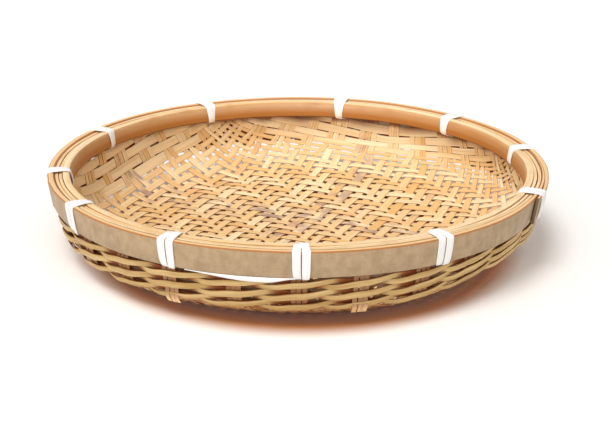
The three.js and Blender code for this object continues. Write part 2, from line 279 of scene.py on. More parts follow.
def cane_path(places, number, along, seed):
    """Where a cane lies across the flat mat, at a place along it."""
    place = places[number]
    if not is_band(places, number):
        others = [n for n in places if bundle(n) == bundle(number) and not is_band(places, n)]
        middle = sum(places[n] for n in others) / len(others)
        gathered = middle + (others.index(number) - (len(others) - 1) / 2) * BUNDLE_PITCH
        place = lerp(place, gathered, smooth_step(*GATHER, abs(along)))
    sway = 2 * WANDER if is_band(places, number) else WANDER
    return place + sway * noise.noise((along / WANDER_LENGTH, number * 3.7, seed))


def mat_reach(first, second):
    """How far along the dish a place of the flat mat is from the middle."""
    flat = math.hypot(first, second)
    corner = (2 * first * second / flat ** 2) ** 4
    return flat - CORNER_DRAW * corner * max(flat - CLOSING[0], 0)


def long_is_over(long_number, cross_number):
    """Two over, two under, one further for each cane; on the bands, bundles over and under by turns."""
    if is_band(LONG_PLACES, long_number) and is_band(CROSS_PLACES, cross_number):
        return (long_number + cross_number) % 2 == 0
    if is_band(LONG_PLACES, long_number):
        return (long_number + bundle(cross_number)) % 2 == 0
    if is_band(CROSS_PLACES, cross_number):
        return (cross_number + bundle(long_number)) % 2 == 1
    return (long_number + cross_number) % 4 < 2


def spacing(places, number):
    """The room that a cane has across the mat."""
    near = [places[n] for n in (number - 1, number, number + 1) if n in places]
    return (near[-1] - near[0]) / (len(near) - 1)


def woven_cane(number, is_long, stain_level):
    """One cane, from a straight slat: woven through the others and pressed into the dish."""
    places, other_places = (LONG_PLACES, CROSS_PLACES) if is_long else (CROSS_PLACES, LONG_PLACES)
    seed, other_seed = (2.0, 31.0) if is_long else (31.0, 2.0)
    place = cane_path(places, number, 0, seed)
    run = math.sqrt(MAT_TRIM ** 2 - place ** 2)
    while mat_reach(place, run) < MAT_TRIM:
        run += 1 * mm
    room = spacing(places, number)
    width = (LONG_WIDTH if is_long else CROSS_WIDTH) * room / CANE_PITCH * random.uniform(*WIDTH_SPREAD)
    steps = cut_in(2 * run, CANE_STEP)
    cane = straight_slat("cane", 2 * run, width, CANE_THICKNESS, CANE_EASE, steps)

    crossings = []
    for other in other_places:
        over = long_is_over(number, other) if is_long else not long_is_over(other, number)
        crossings.append((cane_path(other_places, other, place, other_seed), 1 if over else -1))

    def level(along):
        result = crossings[0][1]
        for before, after in zip(crossings, crossings[1:]):
            middle = (before[0] + after[0]) / 2
            if along > middle - LEVEL_CHANGE:
                share = smooth_step(middle - LEVEL_CHANGE, middle + LEVEL_CHANGE, along)
                result = lerp(before[1], after[1], share)
        return result

    count = steps[0] * steps[1]
    band = is_band(places, number)
    innermost = number in (min(places) + BANDS - 1, max(places) - BANDS + 1)
    band_width = room * (INNER_BAND_FILL if innermost else BAND_FILL)
    rings = []
    for ring in range(count + 1):
        along = -run + 2 * run * ring / count
        drawn = 0 if band else smooth_step(*GATHER, abs(along))
        lateral = cane_path(places, number, along, seed)
        own_width = lerp(width, room * CLOSED, smooth_step(*CLOSING, mat_reach(lateral, along)))
        own_width = band_width if band else lerp(own_width, BUNDLE_WIDTH, drawn)
        rings.append((along, lateral, own_width / width, level(along) * WEAVE_RISE, drawn))

    tone = min(max(random.gauss(BAND_TONE if band else CANE_TONE, TONE_SPREAD), 0), 1)
    sides, splits, painted_shades = [], [], []
    for vertex in cane.data.vertices:
        along, lateral, narrowing, lift, drawn = rings[round(vertex.co.x / (2 * run) * count)]
        share = vertex.co.y / (width / 2)
        crown = CANE_CROWN * (1 - share * share) if vertex.co.z > 0 else 0
        across = vertex.co.y * narrowing
        first, second = (lateral - across, along) if is_long else (along, lateral + across)
        lift += vertex.co.z + crown
        azimuth = math.atan2(second, first) + WEAVE_TURN
        reach = mat_reach(first, second)
        # painted shade: on the outer faces behind the weavers, and under the inner hoop
        behind = lerp(*BEHIND_SHARE, smooth_step(-0.1, 0.45, math.cos(azimuth)))
        behind *= smooth_step(*BEHIND, reach) if vertex.co.z < 0 else 0
        under = lerp(*HOOP_SHADE_SHARE, smooth_step(-0.2, 0.6, math.cos(azimuth - HOOP_SHADE_SIDE)))
        painted_shades.append(max(under * smooth_step(*HOOP_SHADE, reach), behind))
        sides.append(share)
        splits.append(drawn)
        vertex.co = dish_point(reach, azimuth, lift)
    mark(cane, "tone", [tone] * len(sides))
    mark(cane, "stain", [stain_level] * len(sides))
    mark(cane, "side", sides)
    mark(cane, "split", splits)
    mark(cane, "painted_shade", painted_shades)
    return cane


STRIPS = 20  # strips of canes in each set of the CAD model
# how far single canes are stained, by number
STAINED_LONG = {-3: 0.5, -2: 0.9, -1: 0.7, 6: 0.3, -12: 0.3}
STAINED_CROSS = {2: 0.4, 3: 0.9, 4: 0.8, 5: 0.4, -9: 0.3}
MAT_SETS = (("long", True, LONG_PLACES, STAINED_LONG), ("cross", False, CROSS_PLACES, STAINED_CROSS))
for strip in range(STRIPS):
    for set_name, is_long, places, stained_canes in MAT_SETS:
        numbers = [n for n in places if math.floor(places[n] / (2 * CANE_PITCH)) == strip - STRIPS // 2]
        canes = [woven_cane(number, is_long, stained_canes.get(number, 0)) for number in numbers]
        label = f"{strip + 1:02d}"
        finish_piece(f"{set_name}_canes_{label}", canes, splint_bamboo,
                     [f"{set_name}_strip_{label}"])


# Rim: the outer hoop is one broad slat with its skin outside, its two shaved ends lapped and the outer
# one cut off blunt. The inner hoop is a planed slat. One thin leaf caps the ends of the mat and another
# fills the space to the inner hoop.
HOOP_STEP = 2.5 * mm
HOOP_WAVE = 0.25 * mm  # how far a hoop bends in and out by hand
LAST_SHAVING = 1.6  # length shaved at the last end of a hoop, in laps
JOINT_REACH = 3.2 * mm  # of a node of the culm, along the hoop
JOINT_BULGE = 0.5 * mm
FRONT_DROP = 0.25  # share of its drop that a leaf keeps at the front
OUTER_FACE = 1.32 * mm  # stand-off of the outer hoop's inner side from the middle of the mat
INNER_FACE = -7.72 * mm  # and of the inner hoop's inner side


def rim_radius(height):
    """Radius of the middle of the mat at a height in the rim."""
    return WALL_TOP_RADIUS - (RIM_TOP - height) * math.tan(LEAN)


def bent_hoop(name, start, lap, face, height, thickness, ease, tips, drop=0.0, joints=(), proud=0.0):
    """A straight slat shaved thin at its ends and bent round the rim. Face is the stand-off of its inner side
    from the middle of the mat, tips the thickness left at its first and last end, drop how far it sits below
    the rim's top, joints the azimuths of its nodes, proud how far its first end stands out."""
    turn = 2 * math.pi + lap
    length = turn * (WALL_TOP_RADIUS + face)
    hoop = straight_slat(name, length, height, thickness, ease, cut_in(length, HOOP_STEP))
    seed = random.uniform(0, 50)
    joint_marks, sides, ends = [], [], []
    for vertex in hoop.data.vertices:
        share = vertex.co.x / length
        azimuth = start + share * turn
        into_first = min(share * turn / lap, 1)
        into_last = max(1 - (1 - share) * turn / (LAST_SHAVING * lap), 0)
        inner = lerp(thickness - tips[0], 0, into_first) if into_first < 1 else 0
        outer = lerp(thickness, tips[1], into_last)
        depth = lerp(inner, outer, vertex.co.z / thickness + 0.5)
        depth += proud * (1 - smooth_step(0, 0.6, into_first))
        near = 0.0
        for joint in joints:
            apart = (azimuth - joint + math.pi) % (2 * math.pi) - math.pi
            near = max(near, math.exp(-(apart * WALL_TOP_RADIUS / JOINT_REACH) ** 2))
        around = Vector((math.cos(azimuth), math.sin(azimuth), 0))
        sway = HOOP_WAVE * noise.noise(around * 2.2 + Vector((seed, 0, 0)))
        rise = HOOP_WAVE * 1.4 * noise.noise(around * 2.7 + Vector((0, seed, 0)))
        groove = drop * lerp(1, FRONT_DROP, smooth_step(0.5, 0.9, -math.sin(azimuth)))
        down = height / 2 - vertex.co.y + groove - rise
        radius = rim_radius(RIM_TOP - down) + face + depth / math.cos(LEAN) + sway
        if vertex.co.z > 0:
            radius += JOINT_BULGE * near
        sides.append(vertex.co.y / (height / 2))
        joint_marks.append(near)
        ends.append(1.0 if share in (0, 1) else 0.0)
        vertex.co = (radius * math.cos(azimuth), radius * math.sin(azimuth), RIM_TOP - down)
    mark(hoop, "joint", joint_marks)
    mark(hoop, "side", sides)
    mark(hoop, "end", ends)
    return hoop


# Bamboo skin: the smooth outer rind of the culm, dried from green to grey-tan, mottled and finely
# specked, with a soft shine. The cut edge of the slat shows the honey-coloured wood.
skin_bamboo, tree = new_material("bamboo_skin")
grain = add_node(tree, "UVMap", {}, uv_map="fibre").outputs["UV"]
# threads 56 x 0.83 mm and specks 2 x 1.1 mm, coarser than real ones so that they show; clouds 6 x 8 mm
fibres = add_node(tree, "Mapping", {"Vector": grain, "Scale": (0.018 / mm, 1.2 / mm, 1)}).outputs["Vector"]
fine = add_node(tree, "TexNoise", {"Vector": fibres, "Scale": 1, "Detail": 3},
                noise_dimensions="2D").outputs["Fac"]
clouds = add_node(tree, "Mapping", {"Vector": grain, "Scale": (0.17 / mm, 0.12 / mm, 1)}).outputs["Vector"]
cloud = add_node(tree, "TexNoise", {"Vector": clouds, "Scale": 1, "Detail": 5, "Roughness": 0.65},
                 noise_dimensions="2D").outputs["Fac"]
specks = add_node(tree, "Mapping", {"Vector": grain, "Scale": (0.5 / mm, 0.9 / mm, 1)}).outputs["Vector"]
speck = add_node(tree, "TexNoise", {"Vector": specks, "Scale": 1, "Detail": 2},
                 noise_dimensions="2D").outputs["Fac"]
mottle = add_node(tree, "MapRange", {"Value": cloud, "From Min": 0.35, "From Max": 0.68}).outputs["Result"]
skin = add_node(tree, "Mix", {"Factor": mottle, 6: linear("#B59975"), 7: linear("#A38764")},
                data_type="RGBA").outputs[2]
thread = add_node(tree, "MapRange", {"Value": fine, "From Min": 0.5, "From Max": 0.75,
                                     "To Max": 0.2}).outputs["Result"]
skin = add_node(tree, "Mix", {"Factor": thread, 6: skin, 7: linear("#A88A68")}, data_type="RGBA").outputs[2]
dot = add_node(tree, "MapRange", {"Value": speck, "From Min": 0.66, "From Max": 0.78,
                                  "To Max": 0.45}).outputs["Result"]
skin = add_node(tree, "Mix", {"Factor": dot, 6: skin, 7: linear("#8A6E52")}, data_type="RGBA").outputs[2]
joint = add_node(tree, "Attribute", {}, attribute_name="joint").outputs["Fac"]
joint_share = add_node(tree, "MapRange", {"Value": joint, "From Min": 0.25, "From Max": 0.95,
                                          "To Max": 0.55}).outputs["Result"]
skin = add_node(tree, "Mix", {"Factor": joint_share, 6: skin, 7: linear("#7A5A3C")},
                data_type="RGBA").outputs[2]
side = add_node(tree, "Attribute", {}, attribute_name="side").outputs["Fac"]
cut = add_node(tree, "MapRange", {"Value": side, "From Min": 0.9, "From Max": 0.94}).outputs["Result"]
honey = add_node(tree, "Mix", {"Factor": fine, 6: linear("#F0CB96"), 7: linear("#DDAE6C")},
                 data_type="RGBA").outputs[2]
skin = add_node(tree, "Mix", {"Factor": cut, 6: skin, 7: honey}, data_type="RGBA").outputs[2]
from_arris = add_node(tree, "Math", {0: side, 1: 0.945, 2: 0.05}, operation="COMPARE").outputs[0]
from_arris = add_node(tree, "Math", {0: from_arris, 1: 0.9}, operation="MULTIPLY").outputs[0]
skin = add_node(tree, "Mix", {"Factor": from_arris, 6: skin, 7: linear("#AA6422")},
                data_type="RGBA").outputs[2]
end = add_node(tree, "Attribute", {}, attribute_name="end").outputs["Fac"]
# the blunt end faces darker
dark_end = add_node(tree, "MapRange", {"Value": end, "From Min": 0.85, "From Max": 0.95,
                                   "To Max": 0.8}).outputs["Result"]
skin = add_node(tree, "Mix", {"Factor": dark_end, 6: skin, 7: linear("#5A4330")}, data_type="RGBA").outputs[2]
relief = add_node(tree, "Bump", {"Height": fine, "Strength": 0.25, "Distance": 0.1 * mm}).outputs["Normal"]
gloss = add_node(tree, "MapRange", {"Value": cloud, "To Min": 0.4, "To Max": 0.6}).outputs["Result"]
shader = add_node(tree, "BsdfPrincipled", {"Base Color": skin, "Roughness": gloss, "Normal": relief,
                                           "IOR": 1.5})
add_node(tree, "OutputMaterial", {"Surface": shader.outputs[0]})

# Honey bamboo: the pale wood inside the culm, planed along the fibre, with long darker streaks. Its faces
# have shade painted on them, darker towards the lower edge and in a dark line along it; the top stays pale.
honey_bamboo, tree = new_material("planed_bamboo")
grain = add_node(tree, "UVMap", {}, uv_map="fibre").outputs["UV"]
# fibres 100 x 0.91 mm, coarser than real ones so that they show; bundles 170 x 3 mm, worn places 22 x 6 mm
fibres = add_node(tree, "Mapping", {"Vector": grain, "Scale": (0.01 / mm, 1.1 / mm, 1)}).outputs["Vector"]
fine = add_node(tree, "TexNoise", {"Vector": fibres, "Scale": 1, "Detail": 3},
                noise_dimensions="2D").outputs["Fac"]
bundles = add_node(tree, "Mapping", {"Vector": grain, "Scale": (0.006 / mm, 0.33 / mm, 1)}).outputs["Vector"]
broad = add_node(tree, "TexNoise", {"Vector": bundles, "Scale": 1, "Detail": 3},
                 noise_dimensions="2D").outputs["Fac"]
streak = add_node(tree, "MapRange", {"Value": broad, "From Min": 0.35, "From Max": 0.7}).outputs["Result"]
wood = add_node(tree, "Mix", {"Factor": streak, 6: linear("#F8DAAE"), 7: linear("#EBC084")},
                data_type="RGBA").outputs[2]
hair = add_node(tree, "MapRange", {"Value": fine, "From Min": 0.56, "From Max": 0.78,
                                   "To Max": 0.25}).outputs["Result"]
wood = add_node(tree, "Mix", {"Factor": hair, 6: wood, 7: linear("#B97A38")}, data_type="RGBA").outputs[2]
side = add_node(tree, "Attribute", {}, attribute_name="side").outputs["Fac"]
# painted shade: the faces darker below the top, most towards the lower edge
face = add_node(tree, "MapRange", {"Value": side, "From Min": 0.97, "From Max": 0.88,
                                   "To Max": 0.52}).outputs["Result"]
lower = add_node(tree, "MapRange", {"Value": side, "From Min": 0.88, "From Max": -0.8,
                                    "To Max": 0.6}).outputs["Result"]
lower = add_node(tree, "Math", {0: face, 1: lower}, operation="ADD").outputs[0]
wood = add_node(tree, "Mix", {"Factor": lower, 6: wood, 7: linear("#AE6C28")}, data_type="RGBA").outputs[2]
# painted shade: a dark line along the lower edge, under the hoop
arris = add_node(tree, "MapRange", {"Value": side, "From Min": -0.82, "From Max": -0.94,
                                    "To Max": 0.8}).outputs["Result"]
wood = add_node(tree, "Mix", {"Factor": arris, 6: wood, 7: linear("#5E2C0E")}, data_type="RGBA").outputs[2]
worn = add_node(tree, "Mapping", {"Vector": grain, "Scale": (0.045 / mm, 0.16 / mm, 1)}).outputs["Vector"]
wear = add_node(tree, "TexNoise", {"Vector": worn, "Scale": 1, "Detail": 4, "Roughness": 0.6},
                noise_dimensions="2D").outputs["Fac"]
wear = add_node(tree, "MapRange", {"Value": wear, "From Min": 0.5, "From Max": 0.75,
                                   "To Max": 0.35}).outputs["Result"]
wood = add_node(tree, "Mix", {"Factor": wear, 6: wood, 7: linear("#A56A2A")}, data_type="RGBA").outputs[2]
joint = add_node(tree, "Attribute", {}, attribute_name="joint").outputs["Fac"]
joint_share = add_node(tree, "MapRange", {"Value": joint, "From Min": 0.1, "From Max": 1,
                                          "To Max": 0.18}).outputs["Result"]
wood = add_node(tree, "Mix", {"Factor": joint_share, 6: wood, 7: linear("#B87B3C")},
                data_type="RGBA").outputs[2]
relief = add_node(tree, "Math", {0: fine, 1: broad}, operation="ADD").outputs[0]
relief = add_node(tree, "Bump", {"Height": relief, "Strength": 0.3, "Distance": 0.15 * mm}).outputs["Normal"]
gloss = add_node(tree, "MapRange", {"Value": broad, "To Min": 0.38, "To Max": 0.58}).outputs["Result"]
shader = add_node(tree, "BsdfPrincipled", {"Base Color": wood, "Roughness": gloss, "Normal": relief,
                                           "IOR": 1.5})
add_node(tree, "OutputMaterial", {"Surface": shader.outputs[0]})

outer_hoop = bent_hoop(
    "outer_slat", start=math.radians(-24.5), lap=math.radians(30), face=OUTER_FACE, height=16 * mm,
    thickness=4 * mm, ease=0.9 * mm, tips=(1.7 * mm, 0.6 * mm), proud=1.1 * mm,
    joints=(math.radians(14), math.radians(-166), math.radians(108)))
finish_piece("outer_hoop_slat", [outer_hoop], skin_bamboo, ["outer_hoop"])
inner_hoop = bent_hoop(
    "inner_slat", start=math.radians(146), lap=math.radians(26), face=INNER_FACE, height=10 * mm,
    thickness=4 * mm, ease=0.55 * mm, tips=(1.4 * mm, 1.2 * mm),
    joints=(math.radians(110), math.radians(65), math.radians(-40)))
finish_piece("inner_hoop_slat", [inner_hoop], honey_bamboo, ["inner_hoop"])
filler = bent_hoop(
    "filler", start=math.radians(60), lap=math.radians(20), face=-3.35 * mm, height=9.5 * mm,
    thickness=1.9 * mm, ease=0.3 * mm, tips=(0.6 * mm, 0.6 * mm), drop=0.9 * mm)
finish_piece("filler_leaf", [filler], honey_bamboo, ["filler_strip"])
cap = bent_hoop(
    "cap", start=math.radians(-100), lap=math.radians(20), face=-1.0 * mm, height=4 * mm,
    thickness=1.9 * mm, ease=0.3 * mm, tips=(0.6 * mm, 0.6 * mm), drop=0.7 * mm)
finish_piece("cap_leaf", [cap], honey_bamboo, ["cap_strip"])


# Wall stakes: bundles of three slivers that stand against the outside of the wall, from the outer hoop
# down to the turn of the floor. The weavers run before and behind them.
COLUMNS = 26
FIRST_COLUMN = math.radians(-131.5)
COLUMN_SPREAD = 0.22  # how far a bundle may be off its even place, in columns
SLIVER_WIDTH = 2.7 * mm
SLIVER_PITCH = 3.0 * mm
SLIVER_SPREAD = 0.3  # how far a sliver may be off its place, in mm
STAKE_REACH = (134.5 * mm, 160.0 * mm)
BACK_FOOT = 145 * mm  # where the stakes end at the back and right
STAKE_STAND = 2.75 * mm  # off the middle of the mat
TOP_TUCK, FOOT_TUCK = 0.9 * mm, 1.4 * mm  # how far they are drawn in again at both ends
STAKE_TONE = (0.7, 1)
STAKE_STAIN = 0.3
STAKE_SHADE = 0.8  # how dark the shade painted on them behind the weavers is
STAKE_SHADE_SPAN = (139 * mm, 144 * mm)  # reach in which that painted shade sets in
WALL_RADIUS = 142 * mm
SHOWN_FEET = (1, 4)  # bundles that pass outside the lowest weavers
SHOWN_LIFT = 3.2 * mm  # how much higher those end
SHOWN_STAND = 2.4 * mm  # and how much further out
SHOWN_TURN = (146 * mm, 141 * mm)  # reach in which they turn out
SHOWN_TONE = (0.2, 0.5)


def at_back(azimuth):
    """1 at the back and right of the tray, where the weavers are pushed up under the hoop, 0 at its front."""
    back = smooth_step(0.45, 0.9, math.sin(azimuth))
    return max(back, smooth_step(-0.1, 0.7, math.cos(azimuth - SOFT_SIDE)))


def column_shift(column):
    """How far a bundle of stakes is off its even place, in columns."""
    return COLUMN_SPREAD * noise.noise((column * 1.7, 4.0, 0.0))


def column_place(column):
    return FIRST_COLUMN + (column + column_shift(column)) * 2 * math.pi / COLUMNS


slivers = []
for column in range(COLUMNS):
    shown = column in SHOWN_FEET
    foot = lerp(STAKE_REACH[0], BACK_FOOT, at_back(column_place(column)))
    foot += SHOWN_LIFT if shown else 0
    length = STAKE_REACH[1] - foot
    for place in (-1, 0, 1):
        sliver = straight_slat("sliver", length, SLIVER_WIDTH, CANE_THICKNESS, CANE_EASE, (3, 8))
        tone = random.uniform(*(SHOWN_TONE if shown else STAKE_TONE))
        shift = place * SLIVER_PITCH + random.uniform(-SLIVER_SPREAD, SLIVER_SPREAD) * mm
        sides, painted_shades = [], []
        for vertex in sliver.data.vertices:
            reach = foot + vertex.co.x
            stand = STAKE_STAND - TOP_TUCK * smooth_step(0.85, 1, vertex.co.x / length)
            if shown:
                stand += SHOWN_STAND * smooth_step(*SHOWN_TURN, reach)
            else:
                stand -= FOOT_TUCK * (1 - smooth_step(0, 0.2, vertex.co.x / length))
            azimuth = column_place(column) + (shift - vertex.co.y) / WALL_RADIUS
            sides.append(vertex.co.y / (SLIVER_WIDTH / 2))
            # painted shade: the slivers brown behind the weavers
            painted_shades.append(STAKE_SHADE * smooth_step(*STAKE_SHADE_SPAN, reach))
            vertex.co = dish_point(reach, azimuth, -stand - vertex.co.z)
        mark(sliver, "tone", [tone] * len(sides))
        mark(sliver, "side", sides)
        mark(sliver, "painted_shade", painted_shades)
        mark(sliver, "stain", [0 if shown else STAKE_STAIN] * len(sides))
        slivers.append(sliver)
finish_piece("wall_stakes", slivers, splint_bamboo, [])


# Wall weavers: three rows under the outer hoop, each of two narrow slats with their skin outside, twined
# round the bundles of stakes. One passes before a bundle where the other passes behind it, and between
# the bundles they cross, one above the other.
WEAVER_WIDTH = 3.7 * mm
CROSSING_WIDTH = 3.1 * mm
WEAVER_THICKNESS = 0.9 * mm
WEAVER_EASE = 0.25 * mm
WEAVER_STEP = 1.5 * mm
WEAVER_LAP = math.radians(16)
LAP_START, ROW_SHIFT, STRAND_SHIFT = 35, 110, 55  # degrees: the first lap, then row by row and slat by slat
HIDDEN_SHADE = 0.85  # how dark the shade painted on a slat behind the stakes is
WEAVER_WANDER = 0.5 * mm  # how far a row strays up and down
ROW_REACH = (155.6 * mm, 149.0 * mm, 142.2 * mm)
BACK_REACH = (158.4 * mm, 154.2 * mm, 150.0 * mm)
TWIST = 1.75 * mm  # half the height between the two slats where they cross
STAND_IN, STAND_OUT = 1.3 * mm, 3.9 * mm  # behind and before a bundle, off the middle of the mat


def column_phase(azimuth):
    """Half turns of a weaver's twist at an azimuth: a whole number at each bundle of stakes."""
    guess = (azimuth - FIRST_COLUMN) / (2 * math.pi) * COLUMNS
    return guess - column_shift(round(guess) % COLUMNS) * (1 - 2 * abs(guess - round(guess)))


def wall_weaver(row, strand, lap_start):
    """One slat of a row, from a straight slat. It starts and ends in a lap of its own."""
    turn = 2 * math.pi + WEAVER_LAP
    length = turn * WALL_RADIUS
    steps = cut_in(length, WEAVER_STEP)
    weaver = straight_slat("weaver", length, WEAVER_WIDTH, WEAVER_THICKNESS, WEAVER_EASE, steps)
    random.random()  # stands for no size or tone: it keeps the later draws as they are
    sides, weaver_shades = [], []
    for vertex in weaver.data.vertices:
        share = vertex.co.x / length
        azimuth = lap_start + share * turn
        around = Vector((math.cos(azimuth), math.sin(azimuth), 0))
        phase = math.pi * (column_phase(azimuth) + row + strand)
        outside = smooth_step(0.1, 0.9, math.cos(phase) / 2 + 0.5)
        stand = lerp(STAND_IN, STAND_OUT, outside)
        stand -= smooth_step(1 - WEAVER_LAP / turn, 1, share) * WEAVER_THICKNESS
        crossing = math.sin(phase) ** 2
        narrowing = lerp(1, CROSSING_WIDTH / WEAVER_WIDTH, crossing)
        wander = WEAVER_WANDER * noise.noise(around * 4 + Vector((row * 5.1, 0, 0)))
        reach = lerp(ROW_REACH[row], BACK_REACH[row], at_back(azimuth)) + wander
        reach += math.copysign(TWIST * crossing, math.sin(phase)) + vertex.co.y * narrowing
        sides.append(vertex.co.y / (WEAVER_WIDTH / 2))
        # painted shade: red-brown on the inner side and where the slat passes behind the stakes
        hidden = HIDDEN_SHADE * (1 - smooth_step(0, 0.4, outside))
        weaver_shades.append(max(0.5 - vertex.co.z / WEAVER_THICKNESS, hidden))
        vertex.co = dish_point(reach, azimuth, -stand - vertex.co.z)
    mark(weaver, "side", sides)
    mark(weaver, "weaver_shade", weaver_shades)
    return weaver


# Weaver skin: the rind of thinner culms, olive-tan and faintly streaked, darker along its cut edges. Its
# inner side, and what lies behind the stakes, is painted red-brown as shade.
weaver_bamboo, tree = new_material("weaver_skin")
grain = add_node(tree, "UVMap", {}, uv_map="fibre").outputs["UV"]
# threads 83 x 0.77 mm, coarser than real ones so that they show; clouds 40 x 4 mm
fibres = add_node(tree, "Mapping", {"Vector": grain, "Scale": (0.012 / mm, 1.3 / mm, 1)}).outputs["Vector"]
fine = add_node(tree, "TexNoise", {"Vector": fibres, "Scale": 1, "Detail": 3},
                noise_dimensions="2D").outputs["Fac"]
clouds = add_node(tree, "Mapping", {"Vector": grain, "Scale": (0.025 / mm, 0.25 / mm, 1)}).outputs["Vector"]
cloud = add_node(tree, "TexNoise", {"Vector": clouds, "Scale": 1, "Detail": 4},
                 noise_dimensions="2D").outputs["Fac"]
mottle = add_node(tree, "MapRange", {"Value": cloud, "From Min": 0.35, "From Max": 0.7}).outputs["Result"]
skin = add_node(tree, "Mix", {"Factor": mottle, 6: linear("#D5B57C"), 7: linear("#B48F57")},
                data_type="RGBA").outputs[2]
thread = add_node(tree, "MapRange", {"Value": fine, "From Min": 0.52, "From Max": 0.75,
                                     "To Max": 0.45}).outputs["Result"]
skin = add_node(tree, "Mix", {"Factor": thread, 6: skin, 7: linear("#A68450")}, data_type="RGBA").outputs[2]
side = add_node(tree, "Attribute", {}, attribute_name="side").outputs["Fac"]
off_middle = add_node(tree, "Math", {0: side}, operation="ABSOLUTE").outputs[0]
edge = add_node(tree, "MapRange", {"Value": off_middle, "From Min": 0.88, "From Max": 1,
                                   "To Max": 0.5}).outputs["Result"]
skin = add_node(tree, "Mix", {"Factor": edge, 6: skin, 7: linear("#8E6A38")}, data_type="RGBA").outputs[2]
# painted shade on the inner side and behind the stakes
weaver_shade = add_node(tree, "Attribute", {}, attribute_name="weaver_shade").outputs["Fac"]
skin = add_node(tree, "Mix", {"Factor": weaver_shade, 6: skin, 7: linear("#8A3404")}, data_type="RGBA").outputs[2]
relief = add_node(tree, "Bump", {"Height": fine, "Strength": 0.25, "Distance": 0.1 * mm}).outputs["Normal"]
gloss = add_node(tree, "MapRange", {"Value": cloud, "To Min": 0.4, "To Max": 0.6}).outputs["Result"]
shader = add_node(tree, "BsdfPrincipled", {
    "Base Color": skin, "Roughness": gloss, "Normal": relief, "IOR": 1.5, "Specular IOR Level": 0.2})
add_node(tree, "OutputMaterial", {"Surface": shader.outputs[0]})

for row in range(len(ROW_REACH)):
    weavers = []
    for strand in range(2):
        lap_start = math.radians(LAP_START + ROW_SHIFT * row + STRAND_SHIFT * strand)
        weavers.append(wall_weaver(row, strand, lap_start))
    finish_piece(f"weaver_row_{row + 1:02d}", weavers, weaver_bamboo,
                 [f"wall_weaver_{row + 1:02d}"])


# Ties: white plastic strapping tape, wound twice round the rim side by side at eleven places. Both turns
# go through one awl hole in the wall, behind the outer hoop, and the ends are tucked beneath them.
TIE_ANGLES = (-174, -148.5, -118, -89, -58, -20.4, 14, 45.5, 78.7, 115.8, 151.5)
TAPE_WIDTH = 4.5 * mm
TAPE_THICKNESS = 0.5 * mm
TAPE_EASE = 0.12 * mm
TAPE_GAP = 0.8 * mm
TAPE_NECK = 2.0 * mm  # width to which it is squeezed in the awl hole
TAPE_STAND = 0.55 * mm  # off the hoops
OUTER_SIDE = 5.38 * mm  # stand-off of the outer hoop's skin from the middle of the mat
TAPE_LEAN = 0.5  # how far it may be pulled along the rim on top, in mm
INNER_FOOT, INNER_SHOULDER = 37.8 * mm, 46.6 * mm  # heights of the inner hoop's lower and upper edge
OUTER_SHOULDER = 46.8 * mm  # height of the outer hoop's upper edge
PASS_HEIGHT = 31.45 * mm  # at which the tape passes under the outer hoop
HOLE_FOOT, HOLE_OUTSIDE, HOLE_INSIDE = 33 * mm, 35.2 * mm, 36.6 * mm  # heights at the awl hole
TUCK_HEIGHT = 36.3 * mm  # at which its first end is tucked in
LAP_TIE, LAP_PROUD = 5, 1.0 * mm  # the tie that lies on the outer hoop's lap, which stands out there
RUN_TIE = 3  # the tie that a loose length of tape runs to
RUN_ENDS = (math.radians(-114), math.radians(-90.2))
RUN_TOP = 32.1 * mm
RUN_STAND = 5.1 * mm  # off the middle of the mat
RUN_SHOWING = (0.4, 3.0)  # least and most of its width to show, in mm


def tape_stations(lean_over, proud):
    """The way of the tape round the rim: distance from the axis, height, shift along the rim and width."""
    shift = (TAPE_WIDTH + TAPE_GAP) / 2

    def inside(height):
        return rim_radius(height) + INNER_FACE - TAPE_STAND

    def outside(height):
        return rim_radius(height) + OUTER_SIDE + TAPE_STAND + proud

    def turn(way):
        top = RIM_TOP + TAPE_STAND
        over = TAPE_THICKNESS if way > 0 else 0
        return [
            (inside(INNER_FOOT) - over, INNER_FOOT, way * shift * 0.1, TAPE_WIDTH * 0.75),
            (inside(INNER_SHOULDER) - over, INNER_SHOULDER, way * shift * 0.35, TAPE_WIDTH * 0.95),
            (inside(RIM_TOP) + 1.4 * mm - over, top + over, way * shift * 0.6, TAPE_WIDTH),
            (outside(RIM_TOP) - 1.3 * mm, top, way * shift + lean_over, TAPE_WIDTH),
            (outside(OUTER_SHOULDER), OUTER_SHOULDER, way * shift + lean_over, TAPE_WIDTH),
            (outside(PASS_HEIGHT), PASS_HEIGHT, way * shift * 0.95 + lean_over, TAPE_WIDTH * 0.97),
        ]

    through = [
        (rim_radius(PASS_HEIGHT) + 2.1 * mm, PASS_HEIGHT, 0, TAPE_NECK),
        (rim_radius(HOLE_FOOT) + 1.05 * mm, HOLE_FOOT, 0, TAPE_NECK),
        (rim_radius(HOLE_OUTSIDE) + 1.05 * mm, HOLE_OUTSIDE, 0, TAPE_NECK),
        (rim_radius(HOLE_INSIDE) - 1.6 * mm, HOLE_INSIDE, 0, TAPE_NECK),
    ]
    tuck_in = (rim_radius(TUCK_HEIGHT) - 2.6 * mm, TUCK_HEIGHT, -shift * 1.3, TAPE_NECK)
    tuck_out = (rim_radius(HOLE_FOOT) + 3.6 * mm, PASS_HEIGHT - 0.4 * mm, shift * 0.8, TAPE_NECK)
    return [tuck_in, *turn(-1), *through, *turn(1), tuck_out]


def rounded(stations, times):
    """The same way with its corners cut off again and again, as stiff tape bends."""
    for _ in range(times):
        cut = [stations[0]]
        for before, after in zip(stations, stations[1:]):
            cut.append(tuple(lerp(a, b, 0.25) for a, b in zip(before, after)))
            cut.append(tuple(lerp(a, b, 0.75) for a, b in zip(before, after)))
        stations = cut + [stations[-1]]
    return stations


